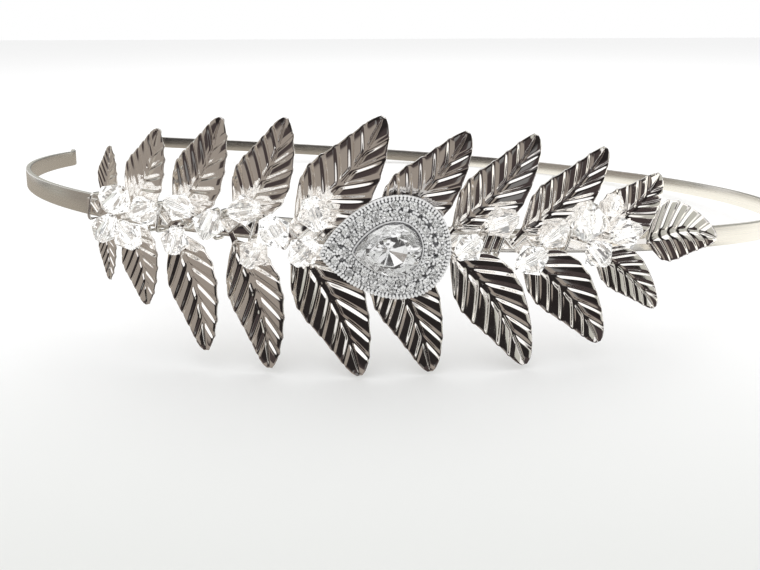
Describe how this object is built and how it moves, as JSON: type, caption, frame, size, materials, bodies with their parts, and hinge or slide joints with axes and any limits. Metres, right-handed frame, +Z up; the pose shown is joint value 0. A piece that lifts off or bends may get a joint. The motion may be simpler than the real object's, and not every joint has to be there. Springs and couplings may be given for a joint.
{
  "type": "headband",
  "caption": "Metal headband with a silvery leaf branch, clear cut crystals and a pear-shaped rhinestone cluster along one side, lying on a surface.",
  "frame": {"origin": "centre of the bounding box's footprint, on the surface that the headband lies on", "axes": "+Z up, -Y towards the viewer of the decorated front arm, +X along the front arm from the tips to the crown"},
  "size_m": [0.1467, 0.135, 0.0313],
  "materials": {
    "band_steel": "polished spring steel",
    "silver_plate": "bright silver plate",
    "silver_wire": "bright drawn wire",
    "clear_crystal": "cut and polished"
  },
  "bodies": {
    "root": {"headband": "band_steel", "leaf_branch": "silver_plate", "crystal_wire": "silver_wire", "binding_wire": "silver_wire", "pear_setting": "silver_plate", "pear_stone": "clear_crystal", "halo_stones": "clear_crystal", "crystal_01": "clear_crystal", "crystal_02": "clear_crystal", "crystal_03": "clear_crystal", "crystal_04": "clear_crystal", "crystal_05": "clear_crystal", "crystal_06": "clear_crystal", "crystal_07": "clear_crystal", "crystal_08": "clear_crystal", "crystal_09": "clear_crystal", "crystal_10": "clear_crystal", "crystal_11": "clear_crystal", "crystal_12": "clear_crystal", "crystal_13": "clear_crystal", "crystal_14": "clear_crystal", "crystal_15": "clear_crystal", "crystal_16": "clear_crystal", "crystal_17": "clear_crystal", "crystal_18": "clear_crystal", "crystal_19": "clear_crystal", "crystal_20": "clear_crystal"}
  },
  "joints": []
}
